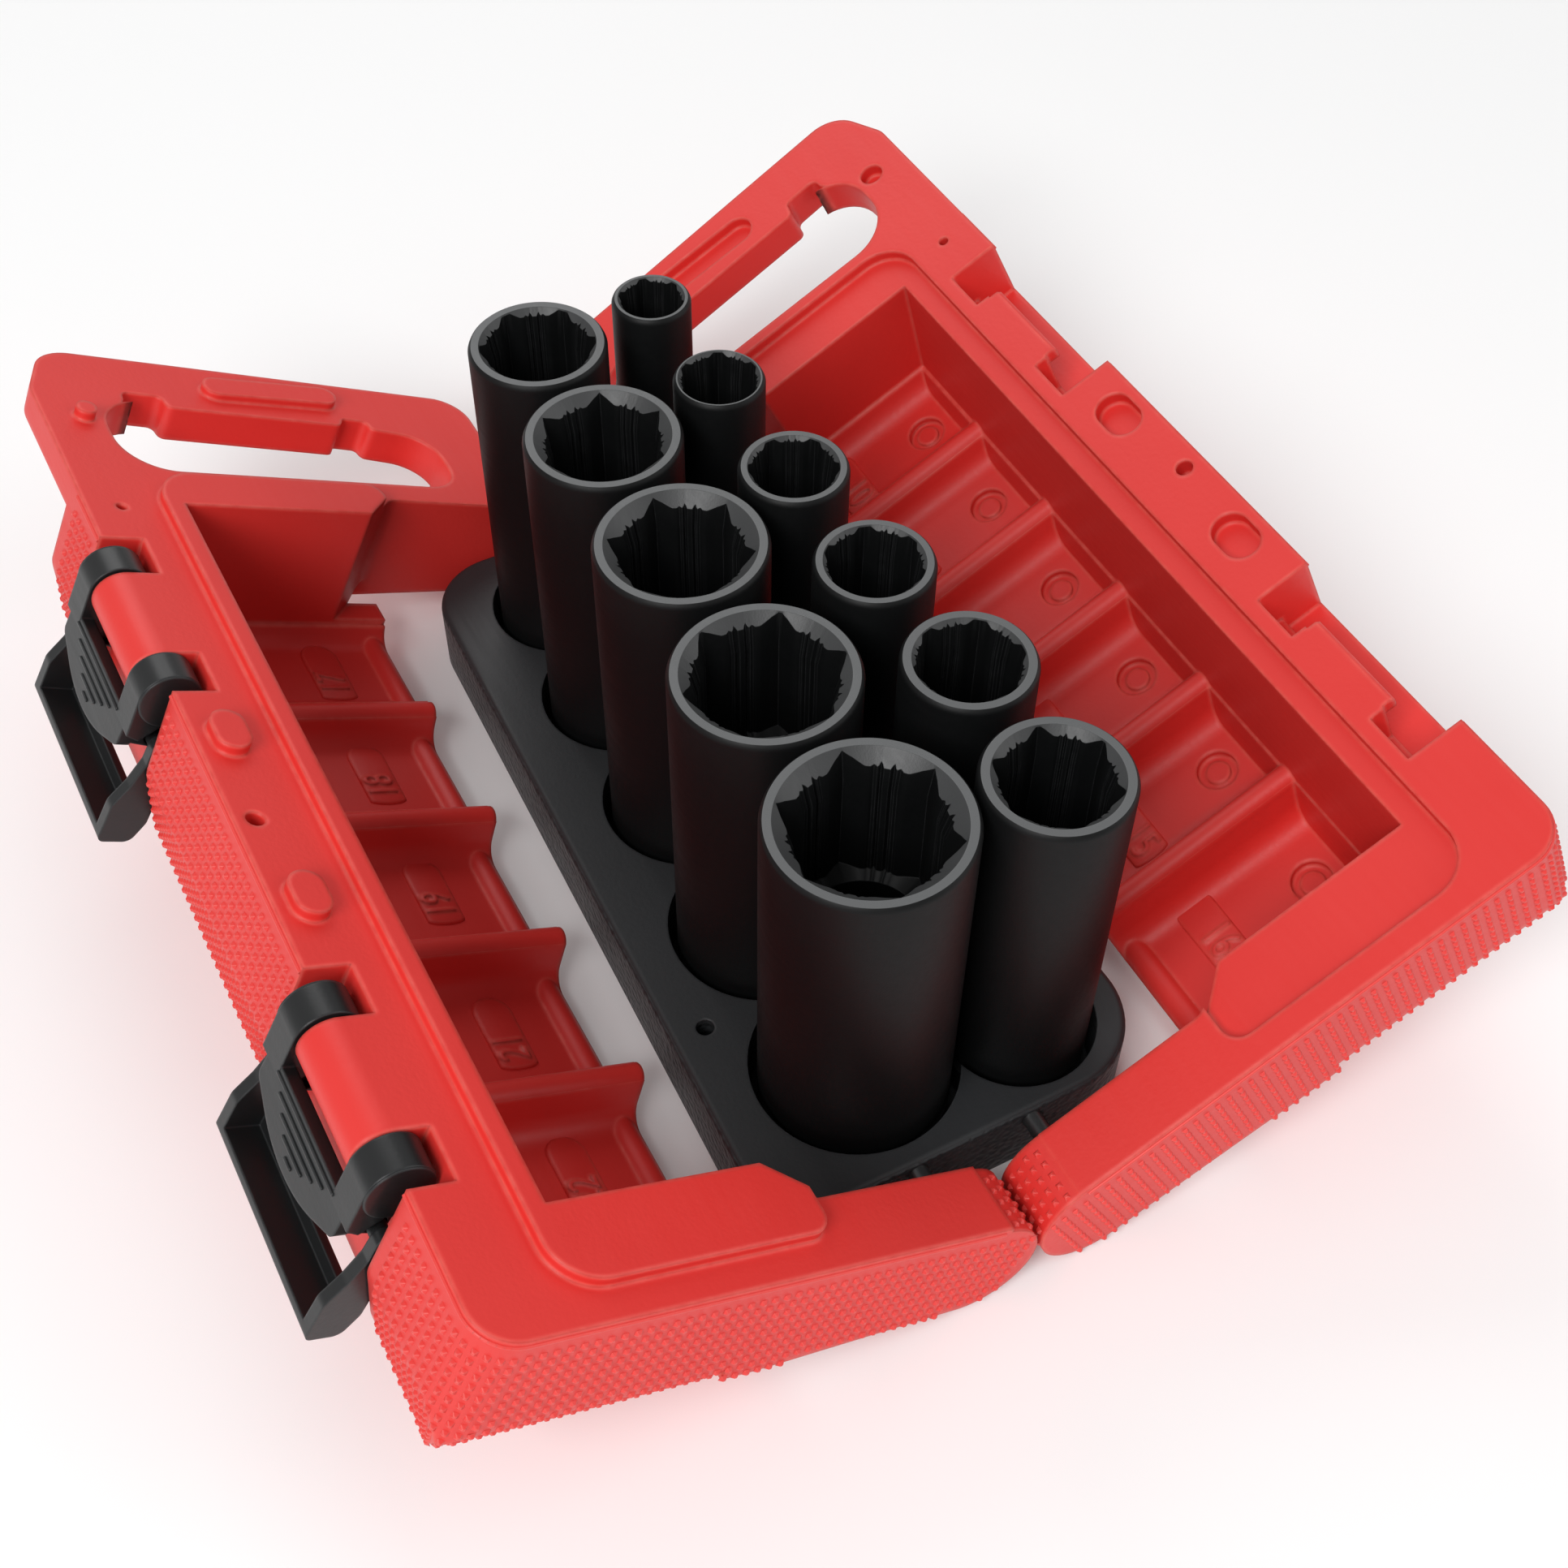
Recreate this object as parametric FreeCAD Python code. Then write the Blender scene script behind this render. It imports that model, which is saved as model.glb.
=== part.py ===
"""Deep impact socket set in a moulded clamshell case, standing open.

Model space: millimetres, +Z up, Y along the case's hinge line. The case is laid out about the
middle of that line and moved at the end, so that the origin is the bottom centre of the whole box.
Each half of the case is drawn in its own flat frame (u away from the hinge, y along it, w out of
the rim), and then tilted to its rest angle; the left half is the mirror of that frame.
"""
import FreeCAD, Part
import math
import os
from FreeCAD import Rotation, Vector

# ---- Layout of the whole set -------------------------------------------------------------------
TILT = 26.56                   # each half of the case rests this far above flat, in degrees
TABLE_Z = -18.5                # surface that the set stands on, below the hinge line
BOX_MIDDLE_X = -4.97           # middle of the whole box, which becomes x = 0
BOX_MIDDLE_Y = 70.85           # close to the middle of the whole box; it becomes y = 0

# ---- Tray --------------------------------------------------------------------------------------
TRAY_TOP, TRAY_THICK = -4.0, 14.5
TRAY_FRONT, TRAY_BACK = -22.0, 140.2
TRAY_HALF_FRONT, TRAY_HALF_BACK = 37.6, 31.6
TRAY_EDGE_ROUND = 1.2
POCKET_DEPTH, POCKET_GAP = 13.0, 1.6
LOCATING_HOLE = (-29.8, 17.5, 1.6)

# ---- Hinge: two pins at each end of the tray, one for each half of the case --------------------
PIN_X = 11.0                   # pin centre from the middle; the rims meet when the case is shut
PIN_R, PIN_GAP = 1.8, 0.05
PIN_Z = -PIN_X * (1 - math.sin(math.radians(TILT))) / math.cos(math.radians(TILT))
PIN_IN_TRAY, PIN_IN_ARM = 3.0, 9.0
PIN_END_ROOM = 0.5             # room past the pin's end in the arm's bore

# ---- Sockets: size, x, y, nose diameter, drive-end diameter ------------------------------------
SOCKET_TOP, SOCKET_LENGTH = 60.4, 77.4
SOCKETS = {
    "socket_10mm": (10, 14.4, 124.0, 14.5, 21.2), "socket_12mm": (12, 15.1, 98.3, 16.3, 21.2),
    "socket_13mm": (13, 15.7, 72.0, 19.0, 21.2), "socket_14mm": (14, 16.5, 46.1, 20.3, 21.2),
    "socket_15mm": (15, 18.7, 20.5, 22.0, 22.0), "socket_16mm": (16, 18.1, -5.5, 24.2, 24.2),
    "socket_17mm": (17, -9.2, 121.4, 24.8, 24.8), "socket_18mm": (18, -9.3, 93.9, 27.5, 27.5),
    "socket_19mm": (19, -9.2, 64.3, 29.3, 29.3), "socket_21mm": (21, -10.5, 32.7, 30.7, 30.7),
    "socket_22mm": (22, -10.6, 0.0, 32.7, 32.7),
}
NOSE_LENGTH, TAPER_LENGTH = 19.0, 22.0
HEX_DEPTH, COUNTERBORE, DRIVE_SQUARE, DRIVE_DEPTH = 26.0, 2.0, 12.8, 17.0
NOSE_CHAMFER = 0.9

# ---- Case half, in its own frame (u, y, w) -----------------------------------------------------
SIDE_U, FRONT_Y, BACK_Y = 101.0, -42.0, 184.0
BODY_U, BODY_BACK_Y = 35.3, 142.5      # the deep part starts here and ends at the handle
DEPTH_FRONT, DEPTH_BACK = 38.2, 33.0
ARM_INNER_FRONT, ARM_INNER_BACK = -29.6, 141.8
ARM_DEPTH, REAR_ARM_BACK_Y = 24.0, 158.0
HANDLE_THICK, HANDLE_END_U, HANDLE_ROUND = 7.4, 8.0, 2.6
CAVITY_U, CAVITY_FRONT, CAVITY_BACK = 83.5, -23.0, 134.4
WINDOW_U, RIB_TOP, RIB_HALF = 43.0, -24.0, 1.7
WINDOW_SLANT, WINDOW_ROUND = 3.6, 4.0          # the wall ends run into the hinge arms in a soft bend
RIB_CROWN, LIP_R, LIP_RISE = 2.3, 2.6, 1.5     # round rib tops, and the lip where the floors end
DIMPLE_U, DIMPLE_R, DIMPLE_DEEP, DIMPLE_STUD = 70.0, 3.8, 1.6, 2.3
STEP_U, STEP_FRONT, STEP_BACK, STEP_END_U = 86.9, -36.5, 144.0, 40.5
STEP_UP, STEP_DOWN, STEP_SLACK = 2.0, 2.4, 0.5
PEG_U, PEG_Y, PEG_SIZE = 95.5, (37.8, 74.3), (6.0, 9.0)
VENT = (97.3, 55.8, 1.6)
DOWEL = (93.2, 162.7, 1.9)
SMALL_HOLE = (94.4, 135.3, 1.0)
RIDGE = (53.0, 174.2, 28.0, 5.6)       # middle u and y, length and width, on the grip

# The two halves differ in their hinge noses, pocket walls and floors.
LEFT = {"nose": 10.2, "ribs": (16.5, 48.2, 79.4, 108.7), "floors": (-33.0, -33.0, -32.0, -30.5, -28.5)}
RIGHT = {"nose": 10.8, "ribs": (7.5, 33.0, 59.6, 85.8, 112.0),
         "floors": (-34.6, -33.0, -32.4, -31.6, -30.8, -30.0)}

# ---- Latches, in the left half's frame; y runs along the hinge ---------------------------------
LATCHES = {"front": 4.5, "rear": 106.0}
AXLE_U, AXLE_W, BARREL_R, STUB_R = 99.0, -5.0, 5.0, 2.6
BARREL_HALF, NOTCH_HALF, NOTCH_U = 10.5, 20.2, 93.3
LUG_R, LUG_IN, LUG_OUT = 5.4, 11.0, 17.1
PLATE_HALF, PLATE_CORNER, PLATE_TIP = 15.2, -11.8, -18.8
PLATE_BACK, PLATE_FACE, PLATE_TOP = 2.7, 5.0, -6.0
LATCH_HANG = 5.0               # the latch hangs this far out from the case wall, in degrees
PIVOT = (-1.0, -9.5)           # bail pivot below the barrel axis, in the latch's own frame
PIVOT_R = 1.5
BAIL_HALF, BAIL_WALL, BAIL_END, BAIL_FLOOR = 19.7, 2.2, -29.5, -24.8
BAIL_LIP, BAIL_BACK = 4.0, -3.4
CATCH_U, CATCH_DEEP, CATCH_HALF = 95.8, 2.9, 10.0


# ---- Small tools -------------------------------------------------------------------------------
def place(axis, a, b, c):
    """Point with plane coordinates a, b and distance c along the axis named u, y or w."""
    return {"w": Vector(a, b, c), "u": Vector(c, a, b), "y": Vector(a, c, b)}[axis]


def prism(corners, axis, low, high):
    """Prism of a polygon whose corners are (a, b) or (a, b, radius), along u, y or w."""
    flat = [Vector(corner[0], corner[1], 0) for corner in corners]
    radii = [corner[2] if len(corner) > 2 else 0 for corner in corners]
    edges, ends = [], []
    for index, corner in enumerate(flat):
        back = (flat[index - 1] - corner).normalize()
        ahead = (flat[(index + 1) % len(flat)] - corner).normalize()
        if not radii[index]:
            ends.append((corner, corner, None))
            continue
        half = back.getAngle(ahead) / 2
        reach = radii[index] / math.tan(half)
        bisector = (back + ahead).normalize()
        crown = corner + bisector * (radii[index] / math.sin(half) - radii[index])
        ends.append((corner + back * reach, corner + ahead * reach, crown))
    for index, (start, stop, crown) in enumerate(ends):
        points = [place(axis, p.x, p.y, low) for p in (ends[index - 1][1], start, stop)]
        if points[0].distanceToPoint(points[1]) > 1e-6:
            edges.append(Part.makeLine(points[0], points[1]))
        if crown:
            middle = place(axis, crown.x, crown.y, low)
            edges.append(Part.Arc(points[1], middle, points[2]).toShape())
    return Part.Face(Part.Wire(edges)).extrude(place(axis, 0, 0, high - low))


def block(u, y, w):
    """Box from three (low, high) pairs."""
    return Part.makeBox(u[1] - u[0], y[1] - y[0], w[1] - w[0], Vector(u[0], y[0], w[0]))


def rod(radius, axis, centre, low, high):
    """Cylinder along u, y or w through the plane point centre, from low to high."""
    direction = place(axis, 0, 0, 1)
    return Part.makeCylinder(radius, high - low, place(axis, centre[0], centre[1], low), direction)


def oblong(centre, along, across, axis_y, low, high):
    """Round-ended bar standing on a face of the case half, its long side along y or u."""
    length, width = (across, along) if axis_y else (along, across)
    radius = min(length, width) / 2 - 0.01
    u, y = centre
    corners = [(u - length / 2, y - width / 2, radius), (u + length / 2, y - width / 2, radius),
               (u + length / 2, y + width / 2, radius), (u - length / 2, y + width / 2, radius)]
    return prism(corners, "w", low, high)


def soften(shape, radius, keep):
    """Round the edges that keep() accepts, or the largest radius below it that the shape takes."""
    edges = [edge for edge in shape.Edges if keep(edge)]
    for factor in (1.0, 0.7, 0.4):
        try:
            rounded = shape.makeFillet(radius * factor, edges)
            if rounded.isValid() and rounded.Volume > 0:
                return rounded
        except Exception:
            continue
    return shape


def lies_at(edge, axis, value, tolerance=0.05):
    """True if the whole edge lies in the plane where the coordinate axis (x, y or z) is value."""
    box = edge.BoundBox
    low, high = {"x": (box.XMin, box.XMax), "y": (box.YMin, box.YMax), "z": (box.ZMin, box.ZMax)}[axis]
    return abs(low - value) < tolerance and abs(high - value) < tolerance


def tilt(shape, side):
    """From a case half's flat frame to its rest place; side is -1 for the left half."""
    tilted = shape.copy()
    if side < 0:
        tilted = tilted.mirror(Vector(0, 0, 0), Vector(1, 0, 0))
    tilted.rotate(Vector(0, 0, 0), Vector(0, 1, 0), -side * TILT)
    return tilted


def pin_place():
    """Hinge pin centre in a case half's flat frame (u, w)."""
    angle = math.radians(TILT)
    return (PIN_X * math.cos(angle) + PIN_Z * math.sin(angle),
            -PIN_X * math.sin(angle) + PIN_Z * math.cos(angle))


# ---- Case halves -------------------------------------------------------------------------------
def deep_body():
    """Deep part of a case half: the common part of its end, side and top outlines."""
    along = prism([(FRONT_Y, 0), (FRONT_Y, -22, 6), (-35, -33, 5), (-24, -DEPTH_FRONT, 5),
                   (122, -DEPTH_BACK - 0.6, 5), (137, -29, 5), (BODY_BACK_Y, -18, 4),
                   (BODY_BACK_Y, 0)], "u", BODY_U, SIDE_U)
    across = prism([(BODY_U, 0), (BODY_U, -45), (86, -45), (88, -DEPTH_FRONT, 6), (96.5, -30, 6),
                    (SIDE_U, -18, 6), (SIDE_U, 0)], "y", FRONT_Y, BODY_BACK_Y)
    plan = prism([(BODY_U, FRONT_Y), (SIDE_U, FRONT_Y, 7), (SIDE_U, BODY_BACK_Y),
                  (BODY_U, BODY_BACK_Y)], "w", -50, 1)
    return along.common(across).common(plan)


def hinge_arm(nose_r, y_low, y_high):
    """Arm that reaches past the hinge pin and ends in a nose turned about it."""
    pin_u, pin_w = pin_place()
    nose = rod(nose_r, "y", (pin_u, pin_w), y_low, y_high)
    arm = prism([(pin_u, pin_w - nose_r), (46, -ARM_DEPTH, 4), (52, -ARM_DEPTH), (52, 0), (pin_u, 0)],
                "y", y_low, y_high)
    return arm.fuse(nose).common(block((-40, 60), (y_low, y_high), (-40, 0)))


def handle_plate():
    """Flat grip behind the deep body, with its finger opening."""
    plate = prism([(HANDLE_END_U, 179, 7), (70, 182.6, 40), (96, BACK_Y, 8),
                   (SIDE_U, 171, 6), (SIDE_U, ARM_INNER_BACK), (HANDLE_END_U, ARM_INNER_BACK)],
                  "w", -HANDLE_THICK, 0)
    plate = soften(plate, HANDLE_ROUND, lambda edge: lies_at(edge, "z", -HANDLE_THICK)
                   and edge.BoundBox.YMax > 142)
    return plate


def finger_opening():
    """Hole through the grip: round outer end, squarer inner end, two small notches."""
    slot = prism([(21, 147, 7), (89.5, 147, 10), (89.5, 167.5, 9), (84, 168.5, 1.5), (83.5, 172, 1.5),
                  (76, 171.5, 1.5), (75.5, 168, 1.5), (40, 166.5, 1.5), (39, 169, 1.2),
                  (34, 168.6, 1.2), (33.5, 166, 1.5), (21, 164, 8)], "w", -30, 5)
    return slot


def hinge_window(low, high):
    """Open stretch between the two hinge arms, which widens the cavity towards the hinge."""
    inner, outer = WINDOW_U - WINDOW_SLANT, WINDOW_U + WINDOW_SLANT
    return prism([(20, ARM_INNER_FRONT), (inner, ARM_INNER_FRONT, WINDOW_ROUND), (outer, CAVITY_FRONT),
                  (outer, CAVITY_BACK), (inner, ARM_INNER_BACK, WINDOW_ROUND), (20, ARM_INNER_BACK)],
                 "w", low, high)


def cavity(half):
    """Space inside the deep body: open towards the hinge, one pocket for each socket."""
    under = RIB_TOP - RIB_CROWN / 2
    mouth = prism([(CAVITY_U, 1), (CAVITY_U, 0), (78.5, RIB_TOP), (78.3, under), (20, under), (20, 1)], "y",
                  CAVITY_FRONT, CAVITY_BACK)
    space = mouth.fuse(hinge_window(RIB_TOP, 1))
    walls = (CAVITY_FRONT - RIB_HALF,) + half["ribs"] + (CAVITY_BACK + RIB_HALF,)
    for low, high, floor in zip(walls, walls[1:], half["floors"]):
        inner = [(low + RIB_HALF, RIB_TOP + 0.5), (high - RIB_HALF, RIB_TOP + 0.5),
                 (high - RIB_HALF - 2.2, floor, 4.5), (low + RIB_HALF + 2.2, floor, 4.5)]
        trough = prism(inner, "u", 20, 78.4)
        slope = prism([(20, RIB_TOP + 1), (78.4, RIB_TOP + 1), (76.0, floor - 0.1), (20, floor - 0.1)],
                      "y", low, high)
        space = space.fuse(trough.common(slope))
    return space


def pocket_walls(half):
    """Low y, high y and floor of every pocket."""
    walls = (CAVITY_FRONT,) + half["ribs"] + (CAVITY_BACK,)
    return list(zip(walls, walls[1:], half["floors"]))


def rib_crowns(half):
    """Round tops of the ribs, and the round lip along the hinge side of each pocket floor."""
    crowns = [rod(RIB_CROWN, "u", (y, RIB_TOP - RIB_CROWN), BODY_U, CAVITY_U) for y in half["ribs"]]
    lips = [rod(LIP_R, "y", (BODY_U + LIP_R, floor + LIP_RISE - LIP_R), low, high)
            for low, high, floor in pocket_walls(half)]
    return crowns[0].multiFuse(crowns[1:] + lips)


def rim_step(low, high, slack):
    """Band round the cavity that stands up on the left rim and is sunk into the right rim."""
    band = prism([(STEP_END_U - slack, STEP_FRONT - slack, 3.5), (STEP_U + slack, STEP_FRONT - slack, 8),
                  (STEP_U + slack, STEP_BACK + slack, 8), (STEP_END_U + 1.1 - slack, STEP_BACK + slack, 3.5)],
                 "w", low, high)
    return band


def shell_body(half):
    """Common solid of a case half, before its own rim details."""
    shell = deep_body().fuse(handle_plate())
    shell = shell.fuse(hinge_arm(half["nose"], FRONT_Y, ARM_INNER_FRONT))
    shell = shell.fuse(hinge_arm(half["nose"], ARM_INNER_BACK, REAR_ARM_BACK_Y))
    shell = shell.cut(finger_opening())
    pin_u, pin_w = pin_place()
    front = rod(PIN_R + PIN_GAP, "y", (pin_u, pin_w), ARM_INNER_FRONT - PIN_IN_ARM - PIN_END_ROOM,
                ARM_INNER_FRONT + 1)
    back = rod(PIN_R + PIN_GAP, "y", (pin_u, pin_w), ARM_INNER_BACK - 1,
               ARM_INNER_BACK + PIN_IN_ARM + PIN_END_ROOM)
    return shell.cut(front.fuse(back)).cut(cavity(half)).fuse(rib_crowns(half)).removeSplitter()


def left_shell():
    """Left half: raised step, pegs and dowel, and two notches with latch barrels."""
    shell = shell_body(LEFT)
    step = rim_step(-3, STEP_UP, 0).cut(cavity(LEFT))
    step = step.cut(hinge_window(-5, 5))
    step = step.cut(block((CAVITY_U - 60, CAVITY_U), (CAVITY_FRONT, CAVITY_BACK), (-5, 5)))
    shell = shell.fuse(step.cut(finger_opening()))
    for y in PEG_Y:
        shell = shell.fuse(oblong((PEG_U, y), PEG_SIZE[1], PEG_SIZE[0], True, -1, 2.2))
    shell = shell.fuse(oblong(RIDGE[:2], RIDGE[2], RIDGE[3], False, -1, 1.8))
    shell = shell.fuse(rod(DOWEL[2], "w", DOWEL[:2], -1, 2.2))
    for centre in LATCHES.values():
        shell = shell.cut(block((NOTCH_U, SIDE_U + 6), (centre - NOTCH_HALF, centre + NOTCH_HALF), (-45, 3)))
        barrel = rod(BARREL_R, "y", (AXLE_U, AXLE_W), centre - BARREL_HALF, centre + BARREL_HALF)
        neck = block((NOTCH_U - 1, AXLE_U), (centre - BARREL_HALF, centre + BARREL_HALF), (AXLE_W - 4, 0))
        stub = rod(STUB_R, "y", (AXLE_U, AXLE_W), centre - LUG_OUT, centre + LUG_OUT)
        shell = shell.fuse(barrel).fuse(neck).fuse(stub)
    return shell.cut(rim_holes()).removeSplitter()


def rim_holes():
    """Vent and locating hole in the outer rim of both halves."""
    vent = rod(VENT[2], "w", VENT[:2], -4, 3)
    return vent.fuse(rod(SMALL_HOLE[2], "w", SMALL_HOLE[:2], -4, 3))


def right_shell():
    """Right half: sunk step, peg sockets and dowel hole, and a catch for each latch."""
    shell = shell_body(RIGHT)
    shell = shell.cut(rim_step(-STEP_DOWN, 3, STEP_SLACK))
    for y in PEG_Y:
        shell = shell.cut(oblong((PEG_U, y), PEG_SIZE[1] + 1, PEG_SIZE[0] + 1, True, -3, 1))
    shell = shell.cut(oblong(RIDGE[:2], RIDGE[2] + 1.4, RIDGE[3] + 1.2, False, -2.6, 1))
    shell = shell.cut(rod(DOWEL[2] + 0.5, "w", DOWEL[:2], -3, 1))
    for centre in LATCHES.values():
        bay = block((NOTCH_U, SIDE_U + 6), (centre - NOTCH_HALF, centre + NOTCH_HALF), (-14, 3))
        pocket = block((90.5, SIDE_U), (centre - NOTCH_HALF, centre + NOTCH_HALF), (-10, 3))
        tongue = block((80, NOTCH_U), (centre - BARREL_HALF, centre + BARREL_HALF), (-12, 4))
        catch = prism([(NOTCH_U - 1, 0), (CATCH_U - 0.8, 0), (CATCH_U, -0.8), (CATCH_U, -CATCH_DEEP),
                       (NOTCH_U - 1, -CATCH_DEEP)], "y", centre - CATCH_HALF, centre + CATCH_HALF)
        shell = shell.cut(bay).cut(pocket.cut(tongue)).fuse(catch)
    for low, high, floor in pocket_walls(RIGHT):
        middle = (DIMPLE_U, (low + high) / 2)
        shell = shell.cut(rod(DIMPLE_R, "w", middle, floor - DIMPLE_DEEP, floor + 4))
        shell = shell.fuse(rod(DIMPLE_STUD, "w", middle, floor - DIMPLE_DEEP - 1, floor - DIMPLE_DEEP + 0.7))
    return shell.cut(rim_holes()).removeSplitter()


# ---- Latches -----------------------------------------------------------------------------------
def latch_frame(shape):
    """From the latch's own frame (x out of the wall, z up, barrel axis at 0) to the left half's."""
    hung = shape.copy()
    hung.rotate(Vector(0, 0, 0), Vector(0, 1, 0), -LATCH_HANG)
    hung.translate(Vector(AXLE_U, 0, AXLE_W))
    return hung


def latch_lever(centre):
    """Thumb plate with two lugs that turn on the stubs of the barrel."""
    lever = prism([(centre - PLATE_HALF, PLATE_TOP), (centre - PLATE_HALF, PLATE_CORNER, 1.5),
                   (centre, PLATE_TIP, 24), (centre + PLATE_HALF, PLATE_CORNER, 1.5),
                   (centre + PLATE_HALF, PLATE_TOP)], "u", PLATE_BACK, PLATE_FACE)
    for sign in (-1, 1):
        low, high = sorted((centre + sign * LUG_IN, centre + sign * LUG_OUT))
        inner, outer = sorted((centre + sign * LUG_IN, centre + sign * PLATE_HALF))
        lug = rod(LUG_R, "y", (0, 0), low, high)
        neck = prism([(0, 0), (LUG_R, 0), (PLATE_FACE, -8), (PLATE_BACK, -9), (0, -6)], "y", low, high)
        ear = prism([(-3.2, -7.2, 1), (PLATE_BACK + 0.5, -6), (PLATE_BACK + 0.5, -11), (-3.2, -12, 1)], "y",
                    inner, outer)
        web = block((0.2, 2.8), (inner, outer), (-8, -4))
        lever = lever.fuse(lug).fuse(neck).fuse(ear).fuse(web)
    lever = lever.cut(rod(STUB_R + 0.35, "y", (0, 0), centre - 30, centre + 30))
    return latch_frame(lever.cut(rod(PIVOT_R + 0.3, "y", PIVOT, centre - 30, centre + 30)).removeSplitter())


def latch_bail(centre):
    """Open box that hooks over the catch; its two pivots turn in the lever's ears."""
    side = [(BAIL_BACK, -7.2, 1.5), (1.0, -7.2, 1.5), (1.0, -12, 1), (2.2, -17, 3), (BAIL_LIP, -21.5, 3),
            (BAIL_LIP, BAIL_END, 1.2), (-1.8, BAIL_END, 2), (BAIL_BACK, -25, 3)]
    outer = prism(side, "y", centre - BAIL_HALF, centre + BAIL_HALF)
    inside = BAIL_HALF - BAIL_WALL
    hollow = block((BAIL_BACK + 1.4, 9), (centre - inside, centre + inside), (BAIL_END + BAIL_WALL, -5))
    swing = block((BAIL_BACK - 3, 9), (centre - inside, centre + inside), (BAIL_FLOOR, -5))
    bail = outer.cut(hollow).cut(swing)
    for sign in (-1, 1):
        low, high = sorted((centre + sign * 12.2, centre + sign * (BAIL_HALF - 0.5)))
        bail = bail.fuse(rod(PIVOT_R, "y", PIVOT, low, high))
    return latch_frame(bail.removeSplitter())


# ---- Tray, sockets and pins --------------------------------------------------------------------
def tray():
    """Tapered holder block with a pocket for each socket."""
    bottom = TRAY_TOP - TRAY_THICK
    corners = [(-TRAY_HALF_FRONT, TRAY_FRONT, 14), (TRAY_HALF_FRONT, TRAY_FRONT, 16),
               (TRAY_HALF_BACK, TRAY_BACK, 14), (-TRAY_HALF_BACK, TRAY_BACK, 13)]
    slab = prism(corners, "w", bottom, TRAY_TOP)
    slab = soften(slab, TRAY_EDGE_ROUND, lambda edge: lies_at(edge, "z", TRAY_TOP))
    for _, x, y, _, drive in SOCKETS.values():
        slab = slab.cut(rod(drive / 2 + POCKET_GAP, "w", (x, y), TRAY_TOP - POCKET_DEPTH, TRAY_TOP + 1))
    x, y, radius = LOCATING_HOLE
    slab = slab.cut(rod(radius, "w", (x, y), bottom + 4, TRAY_TOP + 1))
    for side in (-1, 1):
        for low, high in pin_spans():
            slab = slab.cut(rod(PIN_R, "y", (side * PIN_X, PIN_Z), low, high))
    return slab


def pin_spans():
    """Ends of the front and rear hinge pins along y."""
    return ((ARM_INNER_FRONT - PIN_IN_ARM, TRAY_FRONT + PIN_IN_TRAY),
            (TRAY_BACK - PIN_IN_TRAY, ARM_INNER_BACK + PIN_IN_ARM))


def hinge_pin(side, span):
    """Plain steel pin, pressed into the tray, on which one half of the case turns."""
    return rod(PIN_R, "y", (side * PIN_X, PIN_Z), span[0], span[1])


def socket(size, nose, drive):
    """Deep six-point impact socket standing on its drive end, at the origin."""
    taper_start = SOCKET_LENGTH - NOSE_LENGTH
    profile = [(0, 0), (drive / 2 - 1, 0), (drive / 2, 1)]
    if drive > nose:
        profile += [(drive / 2, taper_start - TAPER_LENGTH), (nose / 2, taper_start)]
    profile += [(nose / 2, SOCKET_LENGTH - NOSE_CHAMFER), (nose / 2 - 0.6, SOCKET_LENGTH),
                (0, SOCKET_LENGTH), (0, 0)]
    wire = Part.makePolygon([Vector(radius, 0, z) for radius, z in profile])
    body = Part.Face(wire).revolve(Vector(0, 0, 0), Vector(0, 0, 1), 360)
    corner = size / math.sqrt(3)
    hexagon = [(corner * math.cos(math.radians(60 * i)), corner * math.sin(math.radians(60 * i)))
               for i in range(6)]
    body = body.cut(prism(hexagon, "w", SOCKET_LENGTH - HEX_DEPTH, SOCKET_LENGTH + 1))
    lead_in = Part.makeCone(size / 2 - 0.2, corner + 0.5, COUNTERBORE,
                            Vector(0, 0, SOCKET_LENGTH - COUNTERBORE), Vector(0, 0, 1))
    body = body.cut(lead_in)
    half = DRIVE_SQUARE / 2
    bore_r = min(size / 2 - 0.4, 9.5)
    body = body.cut(rod(bore_r, "w", (0, 0), DRIVE_DEPTH - 0.5, SOCKET_LENGTH - HEX_DEPTH + 1))
    return body.cut(block((-half, half), (-half, half), (-1, DRIVE_DEPTH)))


# ---- Assembly ----------------------------------------------------------------------------------
def assembly():
    """Every piece by node name, in its place."""
    pieces = {"tray": tray(), "left_shell": tilt(left_shell(), -1), "right_shell": tilt(right_shell(), 1)}
    for end, span in zip(("front", "rear"), pin_spans()):
        for hand, side in (("left", -1), ("right", 1)):
            pieces[f"hinge_pin_{end}_{hand}"] = hinge_pin(side, span)
    for end, centre in LATCHES.items():
        pieces[f"latch_lever_{end}"] = tilt(latch_lever(centre), -1)
        pieces[f"latch_bail_{end}"] = tilt(latch_bail(centre), -1)
    for name, (size, x, y, nose, drive) in SOCKETS.items():
        piece = socket(size, nose, drive)
        piece.translate(Vector(x, y, SOCKET_TOP - SOCKET_LENGTH))
        pieces[name] = piece
    return pieces


def main():
    """Move every piece to the common origin and write one STEP file for each."""
    os.makedirs("parts", exist_ok=True)
    for name, shape in assembly().items():
        shape.translate(Vector(-BOX_MIDDLE_X, -BOX_MIDDLE_Y, -TABLE_Z))
        print(f"{name:24} solids {len(shape.Solids)} valid {shape.isValid()} volume {shape.Volume:.0f}"
              f" x {shape.BoundBox.XMin:.2f} {shape.BoundBox.XMax:.2f} y {shape.BoundBox.YMin:.2f}"
              f" {shape.BoundBox.YMax:.2f} z {shape.BoundBox.ZMin:.2f} {shape.BoundBox.ZMax:.2f}")
        shape.exportStep(f"parts/{name}.step")


main()
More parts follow.
